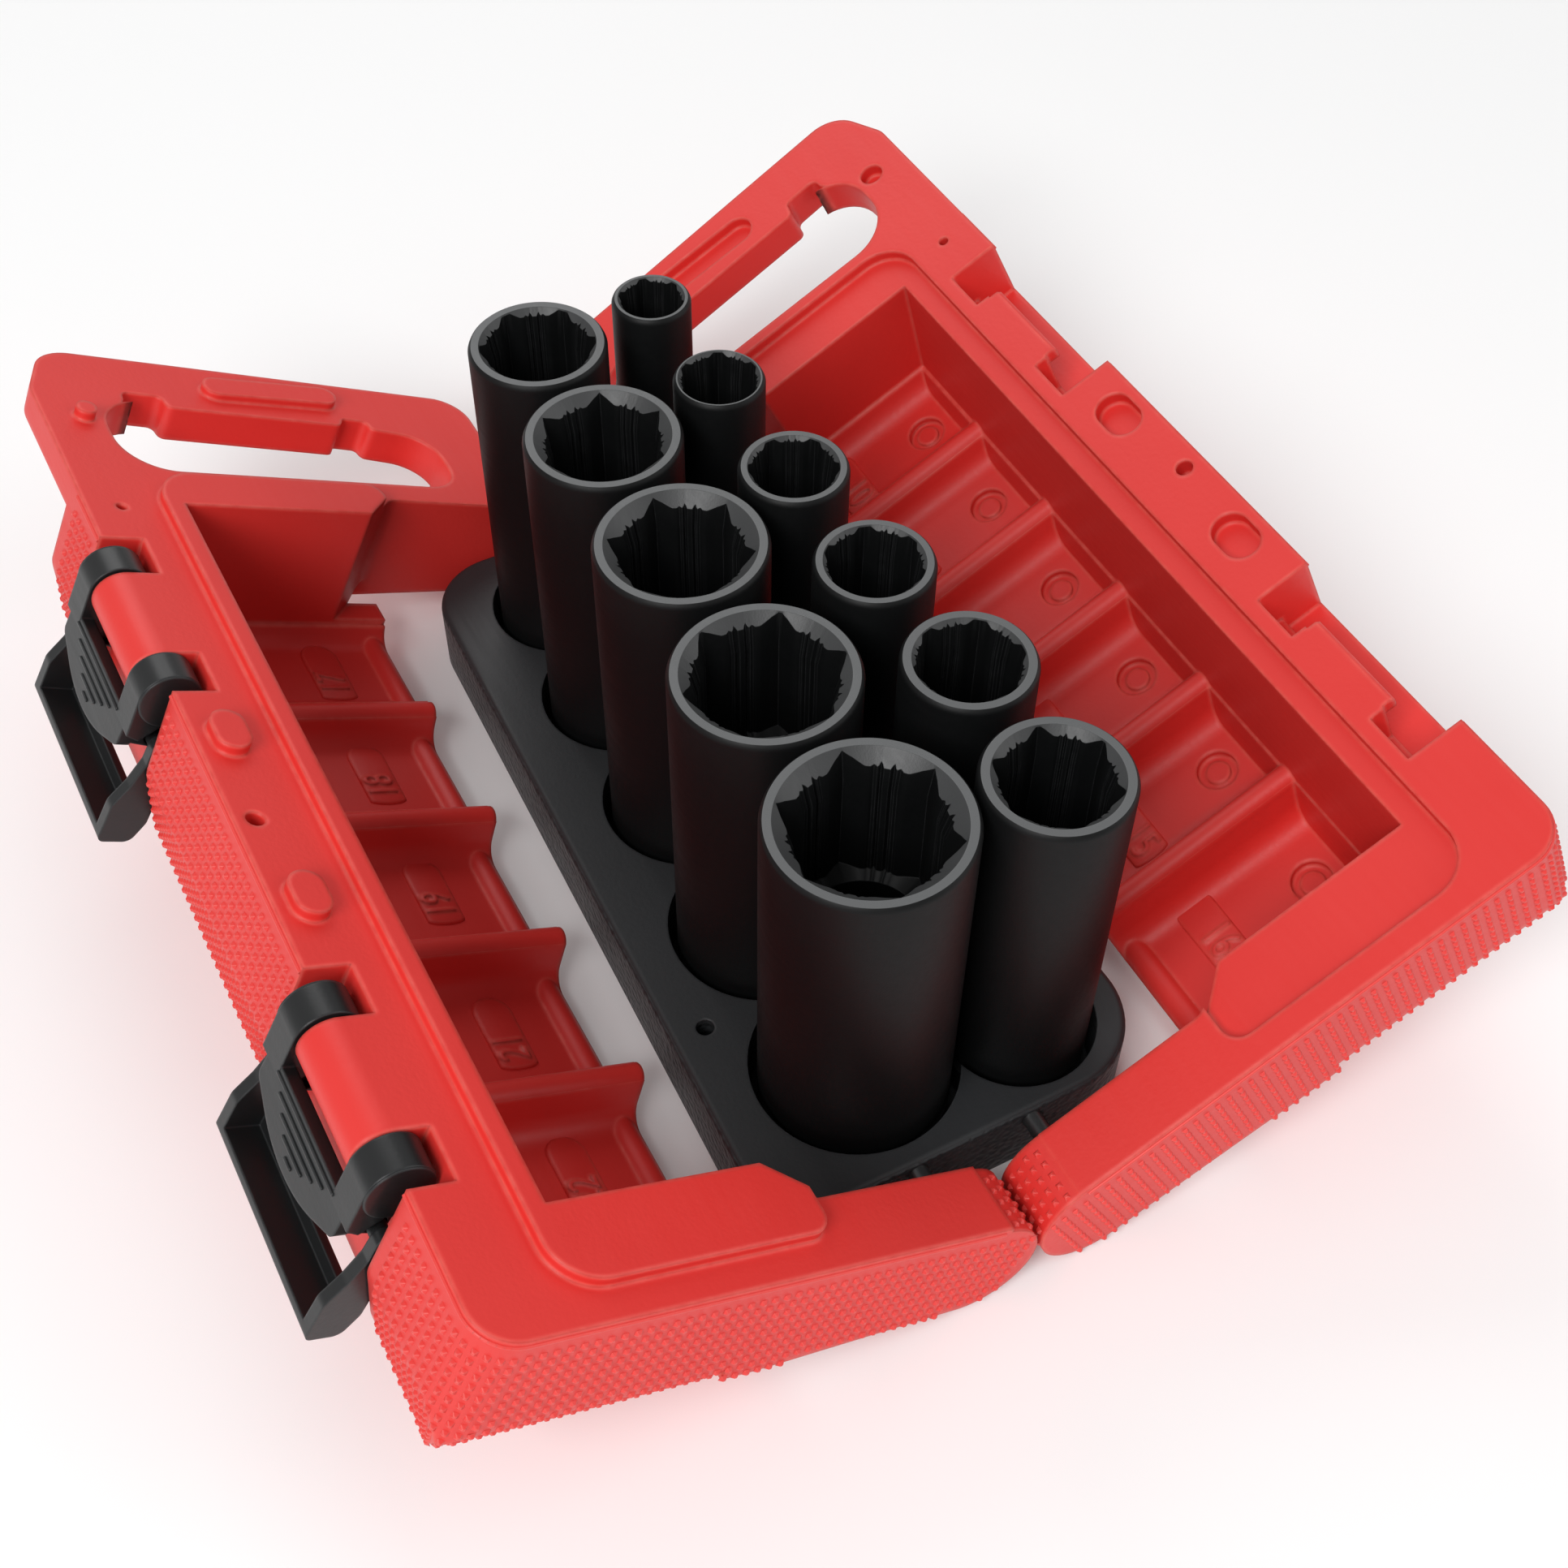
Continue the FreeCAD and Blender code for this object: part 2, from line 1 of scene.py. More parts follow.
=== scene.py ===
"""Looks of a deep impact socket set that stands in its open, moulded carry case.

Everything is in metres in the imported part's own frame. Sizes that belong to a case half are in
millimetres in that half's flat frame: u away from the hinge, y along it, w out of the rim.
"""

import logging
import math
from dataclasses import dataclass
from enum import Enum
from typing import Callable, Iterator

import bmesh
import bpy
from mathutils import Matrix, Vector
from mathutils.bvhtree import BVHTree


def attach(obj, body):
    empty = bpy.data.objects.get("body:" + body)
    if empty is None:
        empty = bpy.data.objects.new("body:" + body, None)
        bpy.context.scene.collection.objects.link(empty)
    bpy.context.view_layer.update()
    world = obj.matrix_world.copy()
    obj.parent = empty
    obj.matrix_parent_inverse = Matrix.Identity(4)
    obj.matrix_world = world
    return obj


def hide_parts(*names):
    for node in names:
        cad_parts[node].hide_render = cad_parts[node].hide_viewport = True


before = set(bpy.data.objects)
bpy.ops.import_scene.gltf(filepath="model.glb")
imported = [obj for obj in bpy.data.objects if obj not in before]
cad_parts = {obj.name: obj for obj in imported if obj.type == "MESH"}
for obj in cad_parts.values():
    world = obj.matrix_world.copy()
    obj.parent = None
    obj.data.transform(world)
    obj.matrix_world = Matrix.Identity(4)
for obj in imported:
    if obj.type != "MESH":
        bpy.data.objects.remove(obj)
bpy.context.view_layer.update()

LOG = logging.getLogger("socket_set")
MM = 0.001
TILT = math.radians(26.56)
HINGE_LINE = Vector((4.97, -70.85, 18.5)) * MM     # the case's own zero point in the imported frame
RED, BLACK, PHOSPHATE = "case_plastic", "latch_plastic", "socket_steel"      # material slots
LATCH_Y = {"front": 4.5, "rear": 106.0}            # middles of the two latches along the hinge
Ring = tuple[Callable[[float], float], Callable[[float], float]]     # radius and height by angle


class Side(Enum):
    """The two halves of the case, as the sign of their x."""

    LEFT = -1
    RIGHT = 1

    @property
    def word(self) -> str:
        """Name of the half in node and body names."""
        return self.name.lower()

    @property
    def to_row(self) -> Matrix:
        """Matrix from this half's flat frame, in millimetres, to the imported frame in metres."""
        mirror = Matrix.Diagonal((self.value, 1, 1, 1))
        tilt = Matrix.Rotation(-self.value * TILT, 4, "Y")
        return Matrix.Translation(HINGE_LINE) @ Matrix.Scale(MM, 4) @ tilt @ mirror


# ---- Meshes ------------------------------------------------------------------------------------
def finished_piece(name: str, mesh: bmesh.types.BMesh, material: bpy.types.Material, body: str,
                   slot: str, sharp: float = 35.0) -> bpy.types.Object:
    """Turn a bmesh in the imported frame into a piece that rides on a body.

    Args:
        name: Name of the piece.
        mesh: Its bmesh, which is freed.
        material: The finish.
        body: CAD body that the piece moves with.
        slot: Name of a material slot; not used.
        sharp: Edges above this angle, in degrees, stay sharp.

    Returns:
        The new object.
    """
    bmesh.ops.remove_doubles(mesh, verts=mesh.verts, dist=1e-7)
    bmesh.ops.recalc_face_normals(mesh, faces=mesh.faces)
    data = bpy.data.meshes.new(name)
    mesh.to_mesh(data)
    mesh.free()
    for polygon in data.polygons:
        polygon.use_smooth = True
    data.set_sharp_from_angle(angle=math.radians(sharp))
    data.materials.append(material)
    piece = bpy.data.objects.new(name, data)
    bpy.context.scene.collection.objects.link(piece)
    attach(piece, body)
    LOG.info("piece %s: %d faces on %s", name, len(data.polygons), body)
    return piece


def dress_node(name: str, material: bpy.types.Material) -> None:
    """Give a CAD node its finish without touching its mesh."""
    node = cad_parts[name]
    node.data.materials.clear()
    node.data.materials.append(material)
    for polygon in node.data.polygons:
        polygon.material_index = 0
    LOG.info("dressed %s", name)


# ---- Finishes ----------------------------------------------------------------------------------
FLAT_DOT = 0.999                     # a rounded normal this close to the flat one is no edge
RAGGED_SCALE, RAGGED_RANGE = 420.0, (0.35, 0.65)          # blotches that break up the painted edge highlight
FLOW_SCALE, FLOW_STRETCH = 900.0, (1.0, 0.06, 1.0)        # moulding lines, long along the case
LEATHER_SCALE, UPRIGHT_RANGE = 900.0, (0.75, 0.45)        # cells, and how level a wall may lie


def node_group(name: str, inputs: dict[str, float], outputs: dict[str, str]) -> bpy.types.NodeTree:
    """Empty shader group with named sockets.

    Args:
        name: Name of the group.
        inputs: Input names and default values, all plain numbers.
        outputs: Output names and socket types.

    Returns:
        The group, with its input and output nodes as "in" and "out".
    """
    group = bpy.data.node_groups.new(name, "ShaderNodeTree")
    for label, value in inputs.items():
        socket = group.interface.new_socket(label, in_out="INPUT", socket_type="NodeSocketFloat")
        socket.default_value = value
    for label, kind in outputs.items():
        group.interface.new_socket(label, in_out="OUTPUT", socket_type=kind)
    group.nodes.new("NodeGroupInput").name = "in"
    group.nodes.new("NodeGroupOutput").name = "out"
    return group


def add_node(tree: bpy.types.NodeTree, kind: str, **settings: object) -> bpy.types.Node:
    """New shader node with some of its properties set."""
    node = tree.nodes.new(kind)
    for key, value in settings.items():
        setattr(node, key, value)
    return node


def edge_group() -> bpy.types.NodeTree:
    """Group that finds edges: rounded normal, and a mask that is 1 along edges, where the painted
    highlight goes.
    """
    group = node_group("edge_mask_for_painted_highlight", {"Radius": 0.0008, "Spread": 0.12, "Ragged": 0.5},
                       {"Mask": "NodeSocketFloat", "Normal": "NodeSocketVector"})
    start, end = group.nodes["in"], group.nodes["out"]
    bevel = add_node(group, "ShaderNodeBevel", samples=6)
    flat = add_node(group, "ShaderNodeNewGeometry")
    dot = add_node(group, "ShaderNodeVectorMath", operation="DOT_PRODUCT")
    spread = add_node(group, "ShaderNodeMapRange")
    place = add_node(group, "ShaderNodeTexCoord")
    ragged = add_node(group, "ShaderNodeTexNoise")
    ragged.inputs["Scale"].default_value = RAGGED_SCALE
    mix = add_node(group, "ShaderNodeMapRange")
    product = add_node(group, "ShaderNodeMath", operation="MULTIPLY", use_clamp=True)
    link = group.links.new
    link(start.outputs["Radius"], bevel.inputs["Radius"])
    link(bevel.outputs[0], dot.inputs[0])
    link(flat.outputs["Normal"], dot.inputs[1])
    link(dot.outputs["Value"], spread.inputs["Value"])
    spread.inputs["From Min"].default_value = FLAT_DOT
    link(start.outputs["Spread"], spread.inputs["From Max"])
    link(place.outputs["Object"], ragged.inputs["Vector"])
    link(ragged.outputs[0], mix.inputs["Value"])
    mix.inputs["From Min"].default_value, mix.inputs["From Max"].default_value = RAGGED_RANGE
    mix.inputs["To Max"].default_value = 1.0
    link(start.outputs["Ragged"], mix.inputs["To Min"])
    link(spread.outputs[0], product.inputs[0])
    link(mix.outputs[0], product.inputs[1])
    link(product.outputs[0], end.inputs["Mask"])
    link(bevel.outputs[0], end.inputs["Normal"])
    return group


def grain_group() -> bpy.types.NodeTree:
    """Group for moulded surfaces: slow colour clouds, fine flow lines and a height for bump."""
    group = node_group("moulded_grain", {"Cloud Scale": 28.0, "Grain Scale": 1500.0, "Streak": 0.3},
                       {"Cloud": "NodeSocketFloat", "Height": "NodeSocketFloat",
                        "Gloss": "NodeSocketFloat"})
    start, end = group.nodes["in"], group.nodes["out"]
    place = add_node(group, "ShaderNodeTexCoord")
    stretch = add_node(group, "ShaderNodeMapping")
    stretch.inputs["Scale"].default_value = FLOW_STRETCH
    cloud, grain, streak = (add_node(group, "ShaderNodeTexNoise") for _ in range(3))
    streak.inputs["Scale"].default_value = FLOW_SCALE
    cloud.inputs["Detail"].default_value = 3
    total = add_node(group, "ShaderNodeMath", operation="MULTIPLY_ADD")
    link = group.links.new
    for noise in (cloud, grain):
        link(place.outputs["Object"], noise.inputs["Vector"])
    link(place.outputs["Object"], stretch.inputs["Vector"])
    link(stretch.outputs[0], streak.inputs["Vector"])
    link(start.outputs["Cloud Scale"], cloud.inputs["Scale"])
    link(start.outputs["Grain Scale"], grain.inputs["Scale"])
    link(streak.outputs[0], total.inputs[0])
    link(start.outputs["Streak"], total.inputs[1])
    link(grain.outputs[0], total.inputs[2])
    link(cloud.outputs[0], end.inputs["Cloud"])
    link(total.outputs[0], end.inputs["Height"])
    link(streak.outputs[0], end.inputs["Gloss"])
    return group


@dataclass(frozen=True)
class Finish:
    """One finish: two body colours, the colour of a painted highlight along edges, gloss and surface
    grain.
    """

    name: str
    dark: tuple[float, float, float]
    light: tuple[float, float, float]
    # colour of the painted highlight along edges, standing in for light caught by the rounded rims
    edge: tuple[float, float, float]
    edge_amount: float
    roughness: tuple[float, float]
    bump: float
    grain_scale: float = 1500.0
    cloud_scale: float = 28.0
    streak: float = 0.3
    edge_radius: float = 0.0008
    edge_spread: float = 0.12
    metallic: float = 0.0
    specular: float = 0.5
    side_grain: float = 0.0

    def material(self) -> bpy.types.Material:
        """Build the material.

        Returns:
            A material whose Principled shader reads the shared groups.
        """
        material = bpy.data.materials.new(self.name)
        material.use_nodes = True
        tree = material.node_tree
        shader = tree.nodes["Principled BSDF"]
        link = tree.links.new
        grain = add_node(tree, "ShaderNodeGroup", node_tree=GROUPS["grain"])
        edges = add_node(tree, "ShaderNodeGroup", node_tree=GROUPS["edges"])
        grain.inputs["Grain Scale"].default_value = self.grain_scale
        grain.inputs["Cloud Scale"].default_value = self.cloud_scale
        grain.inputs["Streak"].default_value = self.streak
        edges.inputs["Radius"].default_value = self.edge_radius
        edges.inputs["Spread"].default_value = 1 - self.edge_spread
        body = add_node(tree, "ShaderNodeMix", data_type="RGBA")
        body.inputs["A"].default_value = (*self.dark, 1)
        body.inputs["B"].default_value = (*self.light, 1)
        # painted highlight: the edge mask lightens the colour along edges as if light caught the rims
        painted_highlight_mix = add_node(tree, "ShaderNodeMix", data_type="RGBA")
        painted_highlight_mix.inputs["B"].default_value = (*self.edge, 1)
        amount = add_node(tree, "ShaderNodeMath", operation="MULTIPLY")
        amount.inputs[1].default_value = self.edge_amount
        rough = add_node(tree, "ShaderNodeMapRange")
        rough.inputs["To Min"].default_value, rough.inputs["To Max"].default_value = self.roughness
        bump = add_node(tree, "ShaderNodeBump")
        bump.inputs["Strength"].default_value = 1.0
        bump.inputs["Distance"].default_value = self.bump
        link(grain.outputs["Cloud"], body.inputs["Factor"])
        link(edges.outputs["Mask"], amount.inputs[0])
        link(amount.outputs[0], painted_highlight_mix.inputs["Factor"])
        link(body.outputs["Result"], painted_highlight_mix.inputs["A"])
        link(painted_highlight_mix.outputs["Result"], shader.inputs["Base Color"])
        link(grain.outputs["Gloss"], rough.inputs["Value"])
        link(rough.outputs[0], shader.inputs["Roughness"])
        link(self.height(tree, grain), bump.inputs["Height"])
        link(edges.outputs["Normal"], bump.inputs["Normal"])
        link(bump.outputs[0], shader.inputs["Normal"])
        shader.inputs["Metallic"].default_value = self.metallic
        shader.inputs["Specular IOR Level"].default_value = self.specular
        return material

    def height(self, tree: bpy.types.NodeTree, grain: bpy.types.Node) -> bpy.types.NodeSocket:
        """Height of the surface: the grain, plus a coarse leather grain on upright walls.

        Args:
            tree: The material's nodes.
            grain: Its grain group.

        Returns:
            The socket to bump by.
        """
        if not self.side_grain:
            return grain.outputs["Height"]
        place = add_node(tree, "ShaderNodeTexCoord")
        cells = add_node(tree, "ShaderNodeTexVoronoi", feature="SMOOTH_F1")
        cells.inputs["Scale"].default_value = LEATHER_SCALE
        split = add_node(tree, "ShaderNodeSeparateXYZ")
        up = add_node(tree, "ShaderNodeMath", operation="ABSOLUTE")
        wall = add_node(tree, "ShaderNodeMapRange")
        wall.inputs["From Min"].default_value, wall.inputs["From Max"].default_value = UPRIGHT_RANGE
        wall.inputs["To Max"].default_value = self.side_grain
        total = add_node(tree, "ShaderNodeMath", operation="MULTIPLY_ADD")
        link = tree.links.new
        link(place.outputs["Object"], cells.inputs["Vector"])
        link(place.outputs["Normal"], split.inputs[0])
        link(split.outputs["Z"], up.inputs[0])
        link(up.outputs[0], wall.inputs["Value"])
        link(cells.outputs["Distance"], total.inputs[0])
        link(wall.outputs[0], total.inputs[1])
        link(grain.outputs["Height"], total.inputs[2])
        return total.outputs[0]


GROUPS = {"grain": grain_group(), "edges": edge_group()}
CASE_RED = Finish(
    "red_moulded_case", dark=(0.66, 0.024, 0.020), light=(0.74, 0.040, 0.033), edge=(0.86, 0.13, 0.10),
    edge_amount=0.8, roughness=(0.36, 0.52), bump=0.00003, grain_scale=1100, edge_radius=0.0013,
    specular=0.45)
KNURL_RED = Finish(
    "red_knurl", dark=(0.68, 0.032, 0.027), light=(0.76, 0.048, 0.040), edge=(0.90, 0.20, 0.17),
    edge_amount=0.5, roughness=(0.34, 0.48), bump=0.00002, edge_radius=0.0003)
TRAY_BLACK = Finish(
    "black_tray", dark=(0.017, 0.018, 0.019), light=(0.024, 0.025, 0.027), edge=(0.060, 0.062, 0.066),
    edge_amount=0.7, roughness=(0.40, 0.55), bump=0.00003, side_grain=14.0, edge_radius=0.0006,
    specular=0.4)
LATCH_BLACK = Finish(
    "black_latch", dark=(0.009, 0.0095, 0.010), light=(0.014, 0.0145, 0.015), edge=(0.040, 0.042, 0.045),
    edge_amount=0.6, roughness=(0.30, 0.42), bump=0.000015, edge_radius=0.0005, specular=0.45)
SOCKET_BLACK = Finish(
    "black_phosphate", dark=(0.0025, 0.0028, 0.0030), light=(0.0045, 0.0048, 0.0050),
    edge=(0.05, 0.051, 0.053), edge_amount=0.5, roughness=(0.42, 0.55), bump=0.000015, grain_scale=2600,
    edge_radius=0.00025, specular=0.20)
RING_GREY = Finish(
    "ground_ring", dark=(0.085, 0.088, 0.09), light=(0.105, 0.108, 0.11), edge=(0.20, 0.205, 0.21),
    edge_amount=0.5, roughness=(0.42, 0.56), bump=0.00002, grain_scale=3200, edge_radius=0.0002)
MOUTH_GREY = Finish(
    "ground_mouth", dark=(0.030, 0.031, 0.032), light=(0.042, 0.043, 0.044), edge=(0.08, 0.082, 0.084),
    edge_amount=0.4, roughness=(0.40, 0.52), bump=0.00002, grain_scale=3200, edge_radius=0.0002)
PIN_STEEL = Finish(
    "dark_steel", dark=(0.09, 0.09, 0.092), light=(0.13, 0.13, 0.132), edge=(0.3, 0.3, 0.3),
    edge_amount=0.4, roughness=(0.30, 0.40), bump=0.00001, metallic=0.9)


# ---- Case halves -------------------------------------------------------------------------------
NOSE_RADIUS = {Side.LEFT: 10.2, Side.RIGHT: 10.8}          # round ends of the front hinge arms


@dataclass
class CaseHalf:
    """One moulded half: its finish, knurls, parting bead and pocket labels, in its flat frame."""

    side: Side
    material: bpy.types.Material
    knurl_material: bpy.types.Material
    pitch: float = 2.15
    row_start: float = -4.2
    knurl_start_u: float = -2.0
    knurl_sink: float = 0.12
    probe_from: float = 6.0
    probe_reach: float = 14.0
    step_from: float = 2.0
    step_reach: float = 4.0
    lowest_facing: float = -0.93
    least_outward: float = 0.2
    nose_pin: tuple[float, float] = (6.8, -11.0)
    nose_start: float = 100.0
    nose_rows: int = 7
    nose_columns: int = 5
    nose_first: float = 1.4
    nose_stagger: float = 0.6
    knurl_base: float = 0.86
    knurl_top: float = 0.28
    knurl_height: float = 0.62
    front_y: float = -42.0
    side_u: float = 101.0
    corner_r: float = 7.0
    knurl_end_y: float = 139.0
    bay_half: float = 21.4
    bays: tuple[float, ...] = tuple(LATCH_Y.values())
    bay_edge: float = 20.3
    bead_r: float = 0.32
    bead_w: float = -1.1
    bead_start_u: float = 8.0
    bead_segments: int = 10
    bead_corner_steps: int = 10
    label_u: float = 50.8
    label_size: float = 8.4
    digit_squeeze: float = 0.72
    digit_height: float = 0.3
    digit_bevel: float = 0.12
    pad_width: float = 7.6
    pad_straight: float = 11.2
    pad_top: float = 7.8
    pad_end_flat: float = 0.3
    pad_height: float = 0.45
    pad_root: float = 0.3
    pad_bevel: float = 0.4

    def build(self) -> None:
        """Dress the half and add its knurls, bead and labels."""
        dress_node(f"{self.side.word}_shell", self.material)
        self.knurls()
        self.bead()
        for number, y, floor in LABELS[self.side]:
            self.label(number, y, floor)

    def bead(self) -> None:
        """Fine parting bead that runs round the outer wall just below the rim."""
        mesh = bmesh.new()
        for start, stop in self.bead_runs():
            way = stop - start
            turn = way.to_track_quat("Z", "Y").to_matrix().to_4x4()
            bmesh.ops.create_cone(mesh, cap_ends=True, segments=self.bead_segments,
                                  radius1=self.bead_r, radius2=self.bead_r, depth=way.length,
                                  matrix=Matrix.Translation((start + stop) / 2) @ turn)
        bmesh.ops.transform(mesh, matrix=self.side.to_row, verts=mesh.verts)
        body = f"{self.side.word}_shell"
        finished_piece(f"{self.side.word}_bead", mesh, self.knurl_material, body, RED)

    def bead_runs(self) -> Iterator[tuple[Vector, Vector]]:
        """Straight runs of the bead: the front wall, the corner in short steps, the side wall."""
        depth = self.bead_w
        corner_u, corner_y = self.side_u - self.corner_r, self.front_y + self.corner_r
        yield Vector((self.bead_start_u, self.front_y, depth)), Vector((corner_u, self.front_y, depth))
        last = Vector((corner_u, self.front_y, depth))
        for step in range(1, self.bead_corner_steps + 1):
            angle = math.pi / 2 * (step / self.bead_corner_steps - 1)
            point = Vector((corner_u + self.corner_r * math.cos(angle),
                            corner_y + self.corner_r * math.sin(angle), depth))
            yield last, point
            last = point
        y = corner_y
        for bay in self.bays:
            yield Vector((self.side_u, y, depth)), Vector((self.side_u, bay - self.bay_edge, depth))
            y = bay + self.bay_edge
        yield Vector((self.side_u, y, depth)), Vector((self.side_u, self.knurl_end_y, depth))

    def label(self, number: int, y: float, floor: float) -> None:
        """Raised pad with a rounded end, and the socket's size embossed on it.

        Args:
            number: Size in millimetres.
            y: Middle of the digits along the hinge.
            floor: Height w of the pocket's floor.
        """
        pad = bmesh.new()
        bmesh.ops.create_circle(pad, cap_ends=True, segments=32, radius=self.pad_width / 2)
        for vert in pad.verts:
            if vert.co.y < 0:
                vert.co.y = vert.co.y * self.pad_end_flat - self.pad_straight
        middle = (self.label_u, y + self.pad_top, floor - self.pad_root)
        bmesh.ops.translate(pad, verts=pad.verts, vec=middle)
        body = bmesh.ops.extrude_face_region(pad, geom=pad.faces[:])["geom"]
        top = [item for item in body if isinstance(item, bmesh.types.BMVert)]
        bmesh.ops.translate(pad, verts=top, vec=(0, 0, self.pad_height + self.pad_root))
        rim = [edge for edge in pad.edges if all(vert in top for vert in edge.verts)]
        bmesh.ops.bevel(pad, geom=rim, offset=self.pad_bevel, segments=3, profile=0.5,
                        affect="EDGES", material=-1)
        self.add_digits(pad, str(number), y, floor + self.pad_height)
        bmesh.ops.transform(pad, matrix=self.side.to_row, verts=pad.verts)
        name = f"{self.side.word}_label_{number}"
        finished_piece(name, pad, self.material, f"{self.side.word}_shell", RED, sharp=50)

    def add_digits(self, mesh: bmesh.types.BMesh, text: str, y: float, base: float) -> None:
        """Emboss digits whose tops point away from the hinge.

        Args:
            mesh: Bmesh in the flat frame that takes them.
            text: The digits.
            y: Their middle along the hinge.
            base: Height w of the face they stand on.
        """
        curve = bpy.data.curves.new("digits", "FONT")
        curve.body, curve.size = text, self.label_size
        curve.align_x, curve.align_y = "CENTER", "CENTER"
        curve.extrude, curve.resolution_u = self.digit_height, 4
        curve.bevel_depth, curve.bevel_resolution = self.digit_bevel, 1
        curve.offset = -self.digit_bevel
        holder = bpy.data.objects.new("digits", curve)
        solid = bpy.data.meshes.new_from_object(holder)
        bpy.data.objects.remove(holder)
        outward = Matrix(((0, 1, 0, 0), (-self.side.value, 0, 0, 0), (0, 0, 1, 0), (0, 0, 0, 1)))
        narrow = Matrix.Diagonal((self.digit_squeeze, 1, 1, 1))
        solid.transform(Matrix.Translation((self.label_u, y, base)) @ outward @ narrow)
        mesh.from_mesh(solid)
        bpy.data.meshes.remove(solid)

    def surface(self) -> BVHTree:
        """Search tree of the half's CAD surface, in the flat frame."""
        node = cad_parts[f"{self.side.word}_shell"]
        inverse = self.side.to_row.inverted()
        copy = bmesh.new()
        copy.from_mesh(node.data)
        bmesh.ops.transform(copy, matrix=inverse, verts=copy.verts)
        bmesh.ops.remove_doubles(copy, verts=copy.verts, dist=1e-4)
        bmesh.ops.recalc_face_normals(copy, faces=copy.faces)
        tree = BVHTree.FromBMesh(copy)
        copy.free()
        return tree

    def outline(self) -> Iterator[tuple[Vector, Vector]]:
        """Points along the outer wall from the hinge to the grip, with their outward directions."""
        u = self.knurl_start_u
        while u < self.side_u - self.corner_r:
            yield Vector((u, self.front_y, 0)), Vector((0, -1, 0))
            u += self.pitch
        centre = Vector((self.side_u - self.corner_r, self.front_y + self.corner_r, 0))
        steps = int(self.corner_r * math.pi / 2 / self.pitch)
        for step in range(steps + 1):
            angle = -math.pi / 2 * (1 - (step + 0.5) / (steps + 1))
            away = Vector((math.cos(angle), math.sin(angle), 0))
            yield centre + away * self.corner_r, away
        y = self.front_y + self.corner_r + self.pitch * 0.5
        while y < self.knurl_end_y:
            if all(abs(y - bay) > self.bay_half for bay in self.bays):
                yield Vector((self.side_u, y, 0)), Vector((1, 0, 0))
            y += self.pitch

    def column(self, tree: BVHTree, foot: Vector, away: Vector) -> Iterator[tuple[Vector, Vector]]:
        """Knurl places down the wall below one outline point.

        Args:
            tree: The half's surface.
            foot: Point on the rim outline.
            away: Outward direction there.

        Yields:
            Each place and its surface normal, in the flat frame.
        """
        start = foot + away * self.probe_from + Vector((0, 0, self.row_start))
        hit, normal, _, _ = tree.ray_cast(start, -away, self.probe_reach)
        while hit is not None and normal.z > self.lowest_facing and normal.dot(away) > self.least_outward:
            yield hit, normal
            across = normal.cross(away.cross(Vector((0, 0, 1)))).normalized()
            down = across if across.z < 0 else -across
            start = hit + down * self.pitch + normal * self.step_from
            hit, normal, _, _ = tree.ray_cast(start, -normal, self.step_reach)

    def nose(self) -> Iterator[tuple[Vector, Vector]]:
        """Knurl places round the end of the front hinge arm."""
        pin_u, pin_w = self.nose_pin
        radius = NOSE_RADIUS[self.side]
        for row in range(self.nose_rows):
            angle = math.radians(self.nose_start + row * math.degrees(self.pitch / radius))
            away = Vector((math.cos(angle), 0, math.sin(angle)))
            for step in range(self.nose_columns):
                y = self.front_y + self.nose_first + step * self.pitch + (row % 2) * self.nose_stagger
                yield Vector((pin_u, y, pin_w)) + away * radius, away

    def knurls(self) -> None:
        """Small blunt pyramids in rows over the outer walls."""
        tree = self.surface()
        places = [place for foot, away in self.outline() for place in self.column(tree, foot, away)]
        places += list(self.nose())
        mesh = bmesh.new()
        for point, normal in places:
            turn = normal.to_track_quat("Z", "Y").to_matrix().to_4x4()
            stand = Matrix.Translation(point + normal * (self.knurl_height / 2 - self.knurl_sink))
            spin = Matrix.Rotation(math.radians(45), 4, "Z")
            bmesh.ops.create_cone(mesh, cap_ends=True, segments=4, radius1=self.knurl_base,
                                  radius2=self.knurl_top, depth=self.knurl_height,
                                  matrix=stand @ turn @ spin)
        bmesh.ops.transform(mesh, matrix=self.side.to_row, verts=mesh.verts)
        body = f"{self.side.word}_shell"
        finished_piece(f"{self.side.word}_knurls", mesh, self.knurl_material, body, RED, sharp=25)


# ---- Sockets -----------------------------------------------------------------------------------
HALF_FLANK = 30              # degrees from the middle of a flank of the hexagon to its corner
INSIDE_RINGS = 9


